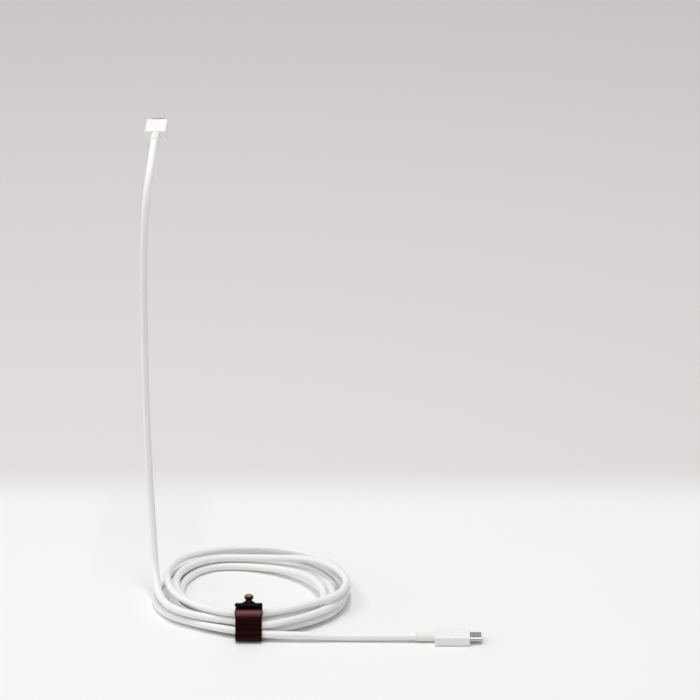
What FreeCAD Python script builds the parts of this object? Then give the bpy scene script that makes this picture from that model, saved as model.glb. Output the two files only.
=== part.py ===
import FreeCAD, Part
import math
import os

# A white charging cable with the same reversible plug at both ends, its spare length coiled in a leather tie.
# Sizes are in millimetres. The origin is the middle of the charger plug's shoulder, on the plug's axis: the
# metal mouth points along +Y, the cord leaves along -Y and +Z is up.

from FreeCAD import Vector

# Clearances
FIT = 0.02                 # round pieces that are pushed together
PLAY = 0.05                # pieces that slide in by hand

# Metal mouth of a plug
SHELL_W = 8.25
SHELL_H = 2.40
SHELL_OUT = 6.65           # stands out of the shoulder
SHELL_IN = 3.5             # runs on behind the shoulder
SHELL_WALL = 0.28
SHELL_LIP = 0.12           # rounding of the mouth's outer edge

# Insulator that holds the contacts in the mouth
CARRIER_BACK = 1.05        # its front lies this far behind the mouth
SLOT_SIDE = 0.395          # wall beside the slot, in which a latch arm lies
SLOT_H = 0.86
SLOT_DEPTH = 4.4

# Spring contacts, twelve on each side of the slot
CONTACTS_PER_SIDE = 12
CONTACT_PITCH = 0.5
CONTACT_W = 0.25
CONTACT_T = 0.15
CONTACT_TAIL = 2.5         # from the back of the insulator to the end of the soldered foot
CONTACT_BEAM = 0.20        # the beam lies this much further out than the foot
CONTACT_BUMP = 0.215       # the touching point comes in this far from the beam
GROOVE_FRONT = 0.2         # wall between the grooves and the insulator's front

# Latch plate with a hook at each side of the slot
LATCH_T = 0.20
LATCH_BASE = 2.2           # length of the plate behind the arms
LATCH_ARM = 0.23
LATCH_HOOK = 0.32          # how far a hook comes in from its arm
LATCH_HOOK_BACK = 0.65     # from the insulator's front to the hook's point

# Shield springs at the mouth
SPRING_T = 0.10
SPRING_BASE_W = 5.8
SPRING_BASE_L = 2.0
SPRING_FINGERS = 3
SPRING_PITCH = 2.0
SPRING_FINGER_W = 1.2
SPRING_DIP = 0.42          # height of a finger's touching point over the middle of the slot

# Board with what is soldered to it
BOARD_W = 8.6
BOARD_T = 0.6
BOARD_FRONT = 0.7          # from the back of the insulator to the board
BOARD_REAR = 2.4           # from the board to the back of the can
CHIP_SIDE = 2.0
CHIP_T = 0.5
CHIP_BACK = 2.7            # from the board's front edge to the chip
RESISTOR_L = 1.0
RESISTOR_W = 0.5
RESISTOR_T = 0.35
RESISTOR_X = 2.4
RESISTOR_BACK = 3.2

# Wires between the cord and the board
POWER_WIRE_D = 0.76
SIGNAL_WIRE_D = 0.60
POWER_WIRE_X = 0.72
WIRE_SEAT = 0.03           # solder under a wire
WIRE_TO_CHIP = 0.7         # from a wire's end to the chip

# Sheet metal can round the board
CAN_W = 9.2
CAN_H = 3.3
CAN_WALL = 0.2
CAN_FRONT = 2.2            # behind the shoulder

# Crimp ring on the braid
CRIMP_T = 0.3
CRIMP_L = 2.5
CRIMP_BACK = 0.1           # behind the can
CRIMP_TO_FLANGE = 1.2      # in front of the strain relief's flange

# Outer sleeve of a plug and the moulding in it
HOUSING_W = 12.4
HOUSING_H = 6.0
HOUSING_L = 20.2
HOUSING_CORNER = 1.2
HOUSING_EDGE = 0.35
HOUSING_WALL = 0.8
HOUSING_REAR_WALL = 1.2
MOULD_RECESS = 0.12        # its face lies this far inside the sleeve's front edge

# Strain relief
RELIEF_L = 10.8
RELIEF_WALL = 0.45         # round the cord, at the housing
RELIEF_TIP_WALL = 0.25
RELIEF_GROOVE_WALL = 0.10
RELIEF_GROOVE_W = 0.4
RELIEF_LIP_W = 0.7
FLANGE_T = 1.0
FLANGE_TO_SIDES = 1.1      # between the flange and the housing's inner sides
FLANGE_TO_TOP = 0.15       # and its inner top
BRAID_D = 2.8
BRAID_IN_CAN = 0.4
JACKET_IN_WALL = 1.1       # the jacket runs this far into the housing's rear wall

# Cord
CORD_D = 4.3
TABLE = -261.0             # height of what the coil lies on
RUN_SHARE = 0.45           # share of the shorter run that a bend takes
POINT_SPACING = 1.0        # for measuring the least gap

# Tie
TIE_X = 53.6
STRAP_W = 15.0
LEATHER = 1.5
LEATHER_CLEAR = 0.25       # between the strap and the cord
FRONT_SLOPE = 56.5         # the strap's faces, degrees from level, and from upright for the rear one
PAD_TILT = 27.0
REAR_LEAN = 12.0
FRONT_BEND = 3.0           # radii of the strap's middle line
WRAP_BEND = 3.15
REAR_BEND = 3.4
FOLD_BELOW_BEND = 1.0      # the free end hinges this far under the rear bend

# Ball stud
STUD_FORWARD = 1.2         # in front of the top pass of the cord
STUD_TO_STRAP_END = 4.2
STUD_TO_TAIL_END = 4.0
FOOT_D = 6.6
FOOT_T = 0.55
NECK_D = 2.9
BALL_D = 4.9
BALL_WAIST = 5.7           # height of the widest place over the foot's underside
BALL_TOP = 7.6
BALL_BASE = 4.1
SCREW_D = 1.6
SCREW_L = 3.6
SCREW_HEAD_D = 5.4
SCREW_HEAD_T = 0.6
SCREW_SLOT_W = 0.6
SCREW_SLOT_DEPTH = 0.25
TAIL_HOLE_D = 3.1
TAIL_SLIT_W = 0.3
TAIL_SLIT_L = 4.6
CONE_D = 8.0               # leather raised round the neck
CONE_TOP_D = 3.9
CONE_H = 1.1

# The six passes of the cord through the tie: (behind the front pass, height over the table) at the tie's middle
FRONT_PASS_Y = -139.8
PASSES = {1: (-0.19, 4.02), 2: (5.41, 3.98), 3: (10.75, 4.05), 4: (3.04, 8.27), 5: (8.51, 8.36), 6: (6.2, 12.95)}
PASS_HALF = 8.5            # half the length of a pass
# How far back a pass lies at its left end, and forward at its right end, then how far up and down.
PASS_SLANTS = {1: (2.16, 0.07), 2: (2.33, 0.01), 3: (2.16, 0.08), 4: (2.45, -0.04), 5: (2.49, 0.19), 6: (0.0, 0.0)}
ENTRY_HEADINGS = {1: -16.6, 2: -15.3, 3: -15.7, 4: -14.1, 5: -14.2, 6: -12.0}
EXIT_HEADINGS = {1: -2.9, 2: 9.3, 3: 11.0, 4: 13.6, 5: 13.9, 6: 17.0}
PASS_ORDER = [4, 6, 5, 3, 2, 1]

# Where each loop swings round: (x, y, height over the table, heading) at its right, far and left side
LOOPS = [
    ((109.4, -90.0, 8.6, 95), (54.0, -42.2, 6.6, 180), (4.4, -85.0, 11.2, 270)),
    ((107.2, -89.0, 13.8, 114), (40.0, -54.8, 6.9, 180), (9.4, -84.0, 7.0, 270)),
    ((96.0, -101.0, 8.2, 98), (38.4, -56.8, 2.15, 180), (12.2, -86.0, 2.15, 270)),
    ((101.0, -91.0, 2.15, 93), (43.0, -50.1, 2.15, 180), (6.3, -85.0, 2.15, 270)),
    ((107.8, -92.0, 2.15, 90), (52.0, -37.5, 2.15, 180), (-2.2, -94.0, 2.15, 270)),
]

# Points of the cord's free stretches, chosen by eye: (x, y, z) for the drop, (x, y, height over the table) below
DROP_POINTS = [
    (0.0, -44.0, 0.0), (-1.2, -56.0, -6.5), (-3.4, -64.0, -17.5), (-5.6, -67.5, -34.0), (-7.5, -68.0, -66.0),
    (-7.5, -68.0, -110.0), (-7.0, -69.5, -150.0), (-4.6, -73.5, -190.0), (-2.2, -80.0, -222.0),
]
LANDING_POINTS = [(-1.6, -91.0, 14.5), (1.0, -109.5, 9.2), (11.6, -124.32, 9.37)]
ARRIVAL_RUN = 16.0         # last run of the drop, in line with the coil's first pass
DEPARTURE_RUN = 22.0       # first run of the tail, in line with the coil's last pass
PHONE_PLUG_X = 179.5       # the phone plug's shoulder
TAIL_BEND_X = 108.1
TAIL_SIDESTEP = 0.95       # the phone plug lies this far in front of the last pass
TAIL_LAST_RUN = 18.0


# Plain shapes

def box(x, y, z):
    """A block between the given low and high values along each axis."""
    return Part.makeBox(x[1] - x[0], y[1] - y[0], z[1] - z[0], Vector(x[0], y[0], z[0]))


def rounded_bar(width, height, corner, y):
    """A bar along Y with rounded corners, between the two given values of y."""
    half_w, half_h, mid = width / 2 - corner, height / 2 - corner, corner * math.sqrt(0.5)
    corners = [(half_w, half_h), (-half_w, half_h), (-half_w, -half_h), (half_w, -half_h)]
    ends = [((corner, 0), (0, corner)), ((0, corner), (-corner, 0)), ((-corner, 0), (0, -corner)),
            ((0, -corner), (corner, 0))]
    mids = [(mid, mid), (-mid, mid), (-mid, -mid), (mid, -mid)]
    arcs = []
    for (cx, cz), (first, last), (mx, mz) in zip(corners, ends, mids):
        places = [Vector(cx + dx, y[0], cz + dz) for dx, dz in (first, (mx, mz), last)]
        arcs.append(places)
    edges = []
    for places, following in zip(arcs, arcs[1:] + arcs[:1]):
        edges.append(Part.Arc(*places).toShape())
        if (following[0] - places[2]).Length > 1e-6:
            edges.append(Part.LineSegment(places[2], following[0]).toShape())
    return Part.Face(Part.Wire(edges)).extrude(Vector(0, y[1] - y[0], 0))


def rod(diameter, y, x=0.0, z=0.0):
    """A round rod along Y."""
    return Part.makeCylinder(diameter / 2, y[1] - y[0], Vector(x, y[0], z), Vector(0, 1, 0))


def revolved(outline, axis):
    """A turned solid: the outline is edges in the half plane beside the axis, closed along the axis."""
    return Part.Face(Part.Wire(outline)).revolve(Vector(0, 0, 0), axis, 360)


def polyline(points):
    return [Part.LineSegment(a, b).toShape() for a, b in zip(points, points[1:])]


def round_end(solid, y, radius):
    """Rounds the edges of a bar's end at y."""
    edges = [edge for edge in solid.Edges if all(abs(v.Y - y) < 1e-6 for v in edge.Vertexes)]
    return solid.makeFillet(radius, edges)


def cleaned(solid):
    """One solid without the seams that joining leaves."""
    return solid.removeSplitter().Solids[0]


# Paths of straight runs and tangent arcs, as steps (start, corner, end) whose corner is None on a run

def turn_of(a, corner, b):
    return (corner - a).getAngle(b - corner)


def radius_of(a, corner, b):
    return (corner - a).Length / math.tan(turn_of(a, corner, b) / 2)


def arc_middle(a, corner, b):
    """Middle of the arc from a to b that touches the lines a-corner and corner-b."""
    radius = radius_of(a, corner, b)
    inward = ((a + b) * 0.5 - corner).normalize()
    return corner + inward * (radius / math.cos(turn_of(a, corner, b) / 2) - radius)


def rounded_steps(points, radii=None):
    """Steps along the points, bent with the given radii or else as widely as the runs allow."""
    steps = []
    start = points[0]
    for i in range(1, len(points) - 1):
        before, corner, after = points[i - 1], points[i], points[i + 1]
        come, go = corner - before, after - corner
        if radii:
            cut = radii[i - 1] * math.tan(come.getAngle(go) / 2)
        else:
            cut = RUN_SHARE * min(come.Length, go.Length)
        a = corner - come * (cut / come.Length)
        b = corner + go * (cut / go.Length)
        steps += [(start, None, a), (a, corner, b)]
        start = b
    return steps + [(start, None, points[-1])]


def edge_of(step):
    a, corner, b = step
    if corner is None:
        return Part.LineSegment(a, b).toShape()
    return Part.Arc(a, arc_middle(a, corner, b), b).toShape()


def tube(steps, diameter):
    """A round tube along the steps."""
    path = Part.Wire([edge_of(step) for step in steps])
    start, corner, end = steps[0]
    along = (end if corner is None else corner) - start
    ring = Part.Wire([Part.Circle(start, along, diameter / 2).toShape()])
    return path.makePipeShell([ring], True, False)


def strip(steps, thickness, width):
    """A strip of even thickness along steps in a plane of constant x, extruded by its width along X."""
    def shifted(point, along, side):
        return point + along.cross(Vector(1, 0, 0)).normalize() * (side * thickness / 2)
    sides = []
    for side in (1, -1):
        edges = []
        for a, corner, b in steps:
            first = shifted(a, (b if corner is None else corner) - a, side)
            last = shifted(b, b - (a if corner is None else corner), side)
            if corner is None:
                edges.append(Part.LineSegment(first, last).toShape())
            else:
                middle = shifted(arc_middle(a, corner, b), b - a, side)
                edges.append(Part.Arc(first, middle, last).toShape())
        sides.append((edges, first, last))
        if side == 1:
            far_end = last
    start_a, corner_a, end_a = steps[0]
    start_along = (end_a if corner_a is None else corner_a) - start_a
    near = [shifted(start_a, start_along, side) for side in (1, -1)]
    far_cap = Part.LineSegment(far_end, last).toShape()
    near_cap = Part.LineSegment(near[1], near[0]).toShape()
    outline = sides[0][0] + [far_cap] + sides[1][0][::-1] + [near_cap]
    return Part.Face(Part.Wire(outline)).extrude(Vector(width, 0, 0))


# Pieces of a plug, each with its mouth along +Y and the middle of its shoulder at the origin

CARRIER_FRONT = SHELL_OUT - CARRIER_BACK
SHELL_INNER_W = SHELL_W - 2 * SHELL_WALL
SHELL_INNER_H = SHELL_H - 2 * SHELL_WALL
SLOT_W = SHELL_INNER_W - 2 * SLOT_SIDE
CONTACT_FOOT_Z = BOARD_T / 2 + CONTACT_T / 2
REAR_WALL_Y = HOUSING_REAR_WALL - HOUSING_L
FLANGE_FRONT_Y = REAR_WALL_Y + FLANGE_T
RELIEF_D = CORD_D + 2 * RELIEF_WALL
CRIMP_Y = (FLANGE_FRONT_Y + CRIMP_TO_FLANGE, FLANGE_FRONT_Y + CRIMP_TO_FLANGE + CRIMP_L)
CAN_Y = (CRIMP_Y[1] + CRIMP_BACK, -CAN_FRONT)
BOARD_Y = (CAN_Y[0] + BOARD_REAR, -SHELL_IN - BOARD_FRONT)
CHIP_FRONT_Y = BOARD_Y[1] - CHIP_BACK
RELIEF_TIP_Y = -HOUSING_L - RELIEF_L
JACKET_END_Y = JACKET_IN_WALL - HOUSING_L
BRAID_END_Y = CAN_Y[0] + CAN_WALL + BRAID_IN_CAN


def stadium(width, height, y):
    return rounded_bar(width, height, height / 2, y)


def make_shell():
    """Deep-drawn mouth, a seamless flat-sided tube with a rounded lip."""
    outside = round_end(stadium(SHELL_W, SHELL_H, (-SHELL_IN, SHELL_OUT)), SHELL_OUT, SHELL_LIP)
    return cleaned(outside.cut(stadium(SHELL_INNER_W, SHELL_INNER_H, (-SHELL_IN, SHELL_OUT))))


def contact_steps(x):
    """Middle line of an upper contact: soldered foot, rise, beam, touching point and tip."""
    beam_z = CONTACT_FOOT_Z + CONTACT_BEAM
    touch_y = CARRIER_FRONT - 0.9
    places = [
        (-SHELL_IN - CONTACT_TAIL, CONTACT_FOOT_Z), (-1.5, CONTACT_FOOT_Z), (0.8, beam_z),
        (touch_y - 0.8, beam_z), (touch_y, beam_z - CONTACT_BUMP), (touch_y + 0.55, beam_z - 0.02),
    ]
    points = [Vector(x, y, z) for y, z in places]
    return rounded_steps(points, [2.0, 2.0, 1.0, 0.4])


def make_contacts():
    """Both rows of spring contacts, each a separate solid."""
    upper = []
    for i in range(CONTACTS_PER_SIDE):
        x = (i - (CONTACTS_PER_SIDE - 1) / 2) * CONTACT_PITCH - CONTACT_W / 2
        upper.append(strip(contact_steps(x), CONTACT_T, CONTACT_W))
    lower = []
    for contact in upper:
        turned = contact.copy()
        turned.rotate(Vector(0, 0, 0), Vector(0, 1, 0), 180)
        lower.append(turned)
    return Part.makeCompound(upper + lower)


def latch_outline(side):
    """Corners of one arm and hook, from the plate forward and back again."""
    outer = SLOT_W / 2 + FIT + LATCH_ARM
    inner = SLOT_W / 2 + FIT
    hook = inner - LATCH_HOOK
    tip = CARRIER_FRONT - 0.3
    point = CARRIER_FRONT - LATCH_HOOK_BACK
    base = LATCH_BASE - SHELL_IN
    places = [(outer, tip), (inner, tip), (hook, point), (hook, point - 0.2), (inner, point - 0.65), (inner, base)]
    return [(side * x, y) for x, y in places]


def make_latch_plate():
    """Flat spring steel fork: a plate behind the slot and an arm with a hook at each side."""
    rear = FIT - SHELL_IN
    outer = SLOT_W / 2 + FIT + LATCH_ARM
    places = [(outer, rear)] + latch_outline(1) + latch_outline(-1)[::-1] + [(-outer, rear), (outer, rear)]
    corners = [Vector(x, y, -LATCH_T / 2) for x, y in places]
    return Part.Face(Part.makePolygon(corners)).extrude(Vector(0, 0, LATCH_T))


def make_contact_carrier():
    """Insulator in the mouth, with the slot, a groove for each contact, and seats for latch and springs."""
    body = stadium(SHELL_INNER_W - 2 * FIT, SHELL_INNER_H - 2 * FIT, (-SHELL_IN, CARRIER_FRONT))
    slot_y = (CARRIER_FRONT - SLOT_DEPTH, CARRIER_FRONT)
    cuts = [box((-SLOT_W / 2, SLOT_W / 2), slot_y, (-SLOT_H / 2, SLOT_H / 2))]
    groove_low = CONTACT_FOOT_Z - CONTACT_T / 2 - FIT
    groove_high = CONTACT_FOOT_Z + CONTACT_BEAM + CONTACT_T / 2 + FIT
    for i in range(CONTACTS_PER_SIDE):
        x = (i - (CONTACTS_PER_SIDE - 1) / 2) * CONTACT_PITCH
        half = CONTACT_W / 2 + FIT
        for z in ((groove_low, groove_high), (-groove_high, -groove_low)):
            cuts.append(box((x - half, x + half), (-SHELL_IN, CARRIER_FRONT - GROOVE_FRONT), z))
    latch_x = SLOT_W / 2 + LATCH_ARM + 2 * FIT
    latch_z = (-LATCH_T / 2 - FIT, LATCH_T / 2 + FIT)
    cuts.append(box((-latch_x, latch_x), (-SHELL_IN, LATCH_BASE - SHELL_IN + FIT), latch_z))
    for x in ((-latch_x, -SLOT_W / 2 + FIT), (SLOT_W / 2 - FIT, latch_x)):
        cuts.append(box(x, (-SHELL_IN, CARRIER_FRONT - 0.2), latch_z))
    spring_low = SHELL_INNER_H / 2 - FIT - SPRING_T - FIT
    for z in ((spring_low, SHELL_INNER_H / 2), (-SHELL_INNER_H / 2, -spring_low)):
        half = SPRING_BASE_W / 2 + FIT
        cuts.append(box((-half, half), (CARRIER_FRONT - SPRING_BASE_L - FIT, CARRIER_FRONT), z))
    return cleaned(body.cut(cuts))


def make_ground_springs():
    """Two thin strips against the mouth's upper and lower wall, each with fingers that dip into it."""
    plate_z = SHELL_INNER_H / 2 - FIT - SPRING_T / 2
    base = box((-SPRING_BASE_W / 2, SPRING_BASE_W / 2), (CARRIER_FRONT - SPRING_BASE_L, CARRIER_FRONT),
               (plate_z - SPRING_T / 2, plate_z + SPRING_T / 2))
    fingers = []
    for i in range(SPRING_FINGERS):
        x = (i - (SPRING_FINGERS - 1) / 2) * SPRING_PITCH - SPRING_FINGER_W / 2
        places = [(CARRIER_FRONT - 0.5, plate_z), (CARRIER_FRONT + 0.12, plate_z),
                  (CARRIER_FRONT + 0.5, SPRING_DIP), (CARRIER_FRONT + 0.8, SPRING_DIP + 0.3)]
        points = [Vector(x, y, z) for y, z in places]
        fingers.append(strip(rounded_steps(points, [0.15, 0.15]), SPRING_T, SPRING_FINGER_W))
    upper = cleaned(base.fuse(fingers))
    lower = upper.copy()
    lower.rotate(Vector(0, 0, 0), Vector(0, 1, 0), 180)
    return Part.makeCompound([upper, lower])


def make_board():
    return box((-BOARD_W / 2, BOARD_W / 2), BOARD_Y, (-BOARD_T / 2, BOARD_T / 2))


def make_marker_chip():
    return box((-CHIP_SIDE / 2, CHIP_SIDE / 2), (CHIP_FRONT_Y - CHIP_SIDE, CHIP_FRONT_Y),
               (BOARD_T / 2, BOARD_T / 2 + CHIP_T))


def make_resistors():
    """Two chip resistors on the underside of the board."""
    front = BOARD_Y[1] - RESISTOR_BACK
    pieces = []
    for x in (-RESISTOR_X, RESISTOR_X):
        pieces.append(box((x - RESISTOR_L / 2, x + RESISTOR_L / 2), (front - RESISTOR_W, front),
                          (-BOARD_T / 2 - RESISTOR_T, -BOARD_T / 2)))
    return Part.makeCompound(pieces)


def make_wires():
    """Four power wires and one signal wire, from the end of the braid to the board's pads."""
    y = (BRAID_END_Y, CHIP_FRONT_Y - CHIP_SIDE - WIRE_TO_CHIP)
    power_z = BOARD_T / 2 + WIRE_SEAT + POWER_WIRE_D / 2
    wires = [rod(POWER_WIRE_D, y, x, z) for x in (-POWER_WIRE_X, POWER_WIRE_X) for z in (-power_z, power_z)]
    wires.append(rod(SIGNAL_WIRE_D, y, 0, BOARD_T / 2 + WIRE_SEAT + SIGNAL_WIRE_D / 2))
    return Part.makeCompound(wires)


def make_shield_can():
    """Closed can with a hole for the mouth in front and one for the braid behind."""
    outside = box((-CAN_W / 2, CAN_W / 2), CAN_Y, (-CAN_H / 2, CAN_H / 2))
    inner_w, inner_h = CAN_W / 2 - CAN_WALL, CAN_H / 2 - CAN_WALL
    inside = box((-inner_w, inner_w), (CAN_Y[0] + CAN_WALL, CAN_Y[1] - CAN_WALL), (-inner_h, inner_h))
    mouth = stadium(SHELL_W + 2 * FIT, SHELL_H + 2 * FIT, (CAN_Y[1] - 2 * CAN_WALL, CAN_Y[1]))
    braid = rod(BRAID_D + 2 * FIT, (CAN_Y[0], CAN_Y[0] + 2 * CAN_WALL))
    return cleaned(outside.cut([inside, mouth, braid]))


def make_crimp_ring():
    bore = BRAID_D + 2 * FIT
    return rod(bore + 2 * CRIMP_T, CRIMP_Y).cut(rod(bore, CRIMP_Y))


def make_inner_mould():
    """Moulding that fills the sleeve, with the mouth's hole, the can's pocket and the crimp ring's bore."""
    rear = FLANGE_FRONT_Y + PLAY
    inside_corner = HOUSING_CORNER - HOUSING_WALL + PLAY
    body = rounded_bar(HOUSING_W - 2 * (HOUSING_WALL + PLAY), HOUSING_H - 2 * (HOUSING_WALL + PLAY), inside_corner,
                       (rear, -MOULD_RECESS))
    mouth = stadium(SHELL_W + 2 * FIT, SHELL_H + 2 * FIT, (CAN_Y[1] - PLAY, 0))
    pocket = box((-CAN_W / 2 - PLAY, CAN_W / 2 + PLAY), CAN_Y, (-CAN_H / 2 - PLAY, CAN_H / 2 + PLAY))
    bore = rod(BRAID_D + 2 * FIT + 2 * CRIMP_T + 2 * PLAY, (rear, CAN_Y[0] + PLAY))
    return cleaned(body.cut([mouth, pocket, bore]))


def make_housing():
    """Outer sleeve, open at the front, with a hole for the strain relief in its rear wall."""
    outside = rounded_bar(HOUSING_W, HOUSING_H, HOUSING_CORNER, (-HOUSING_L, 0))
    outside = round_end(round_end(outside, -HOUSING_L, HOUSING_EDGE), 0, HOUSING_EDGE)
    cavity = rounded_bar(HOUSING_W - 2 * HOUSING_WALL, HOUSING_H - 2 * HOUSING_WALL,
                         HOUSING_CORNER - HOUSING_WALL, (REAR_WALL_Y, 0))
    hole = rod(RELIEF_D + 2 * FIT, (-HOUSING_L, REAR_WALL_Y))
    return cleaned(outside.cut([cavity, hole]))


def make_strain_relief():
    """Soft sleeve that tapers to a grooved lip, with a flange inside the housing."""
    lip = RELIEF_TIP_Y + RELIEF_LIP_W
    groove = lip + RELIEF_GROOVE_W
    tip_r, groove_r = CORD_D / 2 + RELIEF_TIP_WALL, CORD_D / 2 + RELIEF_GROOVE_WALL
    rounding = RELIEF_LIP_W / 2
    sleeve = polyline([
        Vector(0, RELIEF_TIP_Y, 0), Vector(0, REAR_WALL_Y, 0), Vector(RELIEF_D / 2, REAR_WALL_Y, 0),
        Vector(RELIEF_D / 2, -HOUSING_L, 0), Vector(tip_r, groove, 0), Vector(groove_r, groove, 0),
        Vector(groove_r, lip, 0), Vector(tip_r, lip, 0), Vector(tip_r, RELIEF_TIP_Y + rounding, 0),
    ])
    mid = rounding * (1 - math.sqrt(0.5))
    end = Vector(tip_r - rounding, RELIEF_TIP_Y, 0)
    if end.x < CORD_D / 2:
        end.x = CORD_D / 2
    sleeve.append(Part.Arc(Vector(tip_r, RELIEF_TIP_Y + rounding, 0),
                           Vector(tip_r - (tip_r - end.x) * (1 - math.sqrt(0.5)), RELIEF_TIP_Y + mid, 0),
                           end).toShape())
    sleeve += polyline([end, Vector(0, RELIEF_TIP_Y, 0)])
    inside_w, inside_h = HOUSING_W - 2 * HOUSING_WALL, HOUSING_H - 2 * HOUSING_WALL
    flange = rounded_bar(inside_w - 2 * FLANGE_TO_SIDES, inside_h - 2 * FLANGE_TO_TOP, HOUSING_CORNER,
                         (REAR_WALL_Y, FLANGE_FRONT_Y))
    body = revolved(sleeve, Vector(0, 1, 0)).fuse(flange)
    jacket = rod(CORD_D, (RELIEF_TIP_Y, JACKET_END_Y + FIT))
    braid = rod(BRAID_D + 2 * FIT, (RELIEF_TIP_Y, FLANGE_FRONT_Y))
    return cleaned(body.cut([jacket, braid]))


def make_cord_end():
    """The end of the cord in its plug: jacket up to the rear wall, then the bare braid."""
    jacket = rod(CORD_D - 2 * FIT, (RELIEF_TIP_Y, JACKET_END_Y))
    return cleaned(jacket.fuse(rod(BRAID_D, (RELIEF_TIP_Y, BRAID_END_Y))))


PLUG_PIECES = {
    "housing": make_housing,
    "inner_mould": make_inner_mould,
    "strain_relief": make_strain_relief,
    "cord_end": make_cord_end,
    "crimp_ring": make_crimp_ring,
    "shield_can": make_shield_can,
    "board": make_board,
    "resistors": make_resistors,
    "wires": make_wires,
    "shell": make_shell,
    "contact_carrier": make_contact_carrier,
    "contacts": make_contacts,
    "latch_plate": make_latch_plate,
    "ground_springs": make_ground_springs,
}


# The cord

def heading(degrees):
    return Vector(math.cos(math.radians(degrees)), math.sin(math.radians(degrees)), 0)


def biarc(a, heading_a, b, heading_b):
    """Two tangent arcs from a to b that leave and arrive along the headings."""
    span = b - a
    both = heading_a + heading_b
    square = both.dot(both) - 4
    middle = span.dot(both)
    reach = (middle - math.sqrt(middle ** 2 - square * span.dot(span))) / square
    corner_a = a + heading_a * reach
    corner_b = b - heading_b * reach
    joint = (corner_a + corner_b) * 0.5
    return [(a, corner_a, joint), (joint, corner_b, b)]


def pass_end(number, side):
    """End of a pass through the tie: side is -1 at the left and 1 at the right."""
    back, height = PASSES[number]
    slant_back, slant_up = PASS_SLANTS[number]
    return Vector(TIE_X + side * PASS_HALF, FRONT_PASS_Y + back - side * slant_back,
                  TABLE + height - side * slant_up)


def pass_steps(number):
    return biarc(pass_end(number, -1), heading(ENTRY_HEADINGS[number]), pass_end(number, 1),
                 heading(EXIT_HEADINGS[number]))


def coil_steps():
    """Every loop from its pass round the right, far and left side to the next pass, then the last pass."""
    steps = []
    for loop, number, following in zip(LOOPS, PASS_ORDER, PASS_ORDER[1:]):
        steps += pass_steps(number)
        stations = [(pass_end(number, 1), heading(EXIT_HEADINGS[number]))]
        for x, y, height, degrees in loop:
            stations.append((Vector(x, y, TABLE + height), heading(degrees)))
        stations.append((pass_end(following, -1), heading(ENTRY_HEADINGS[following])))
        for (a, heading_a), (b, heading_b) in zip(stations, stations[1:]):
            steps += biarc(a, heading_a, b, heading_b)
    return steps + pass_steps(PASS_ORDER[-1])


def drop_steps():
    """From the charger plug's strain relief down to the coil's first pass."""
    end = pass_end(PASS_ORDER[0], -1)
    points = [Vector(0, RELIEF_TIP_Y, 0)] + [Vector(*place) for place in DROP_POINTS]
    points += [Vector(x, y, TABLE + height) for x, y, height in LANDING_POINTS]
    points += [end - heading(ENTRY_HEADINGS[PASS_ORDER[0]]) * ARRIVAL_RUN, end]
    return rounded_steps(points)


def tail_end():
    start = pass_end(PASS_ORDER[-1], 1)
    return Vector(PHONE_PLUG_X + RELIEF_TIP_Y, start.y - TAIL_SIDESTEP, TABLE + HOUSING_H / 2)


def tail_steps():
    """From the coil's last pass along the table to the phone plug's strain relief."""
    start = pass_end(PASS_ORDER[-1], 1)
    end = tail_end()
    points = [start, start + heading(EXIT_HEADINGS[PASS_ORDER[-1]]) * DEPARTURE_RUN,
              Vector(TAIL_BEND_X, start.y - 0.2, TABLE + CORD_D / 2), end - Vector(TAIL_LAST_RUN, 0, 0), end]
    return rounded_steps(points)


def points_along(steps):
    """Evenly spaced points on the steps."""
    points = []
    for a, corner, b in steps:
        if corner is None:
            count = math.ceil((b - a).Length / POINT_SPACING)
            points += [a + (b - a) * (i / count) for i in range(count)]
            continue
        turn, radius = turn_of(a, corner, b), radius_of(a, corner, b)
        inward = ((a + b) * 0.5 - corner).normalize()
        centre = corner + inward * (radius / math.cos(turn / 2))
        out, along = a - centre, (corner - a).normalize() * radius
        count = math.ceil(turn * radius / POINT_SPACING)
        for i in range(count):
            angle = turn * i / count
            points.append(centre + out * math.cos(angle) + along * math.sin(angle))
    return points + [steps[-1][2]]


def least_gap(points, diameter):
    """Least distance between the tube's surfaces at points that lie apart along it."""
    skip = int(6 * diameter / POINT_SPACING)
    places = [(p.x, p.y, p.z) for p in points]
    least = math.inf
    for i, (x, y, z) in enumerate(places):
        for u, v, w in places[i + skip:]:
            gap = (x - u) ** 2 + (y - v) ** 2 + (z - w) ** 2
            if gap < least:
                least = gap
    return math.sqrt(least) - diameter


def make_cord():
    """The cord's three stretches, with their measures printed."""
    routes = {"cord_drop": drop_steps(), "cord_coil": coil_steps(), "cord_tail": tail_steps()}
    stretches = {}
    total = 0.0
    for name, steps in routes.items():
        length = sum(edge_of(step).Length for step in steps)
        radii = [radius_of(*step) for step in steps if step[1] is not None]
        stretches[name] = tube(steps, CORD_D)
        expected = math.pi * (CORD_D / 2) ** 2 * length
        print("%s: length %.1f, least radius %.1f, volume over section times length %.4f" % (
            name, length, min(radii), stretches[name].Volume / expected))
        print("   radii " + " ".join("%.0f" % radius for radius in radii))
        total += length
    whole = points_along(routes["cord_drop"]) + points_along(routes["cord_coil"]) + points_along(routes["cord_tail"])
    print("cord in all %.0f, least gap to itself %.2f" % (total, least_gap(whole, CORD_D)))
    return stretches


# The tie, drawn in the plane across the passes as (y, z)

def flat(y, z):
    return Vector(TIE_X - STRAP_W / 2, y, z)


def slope_normal(across, up):
    return Vector(0, across, up)


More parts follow.
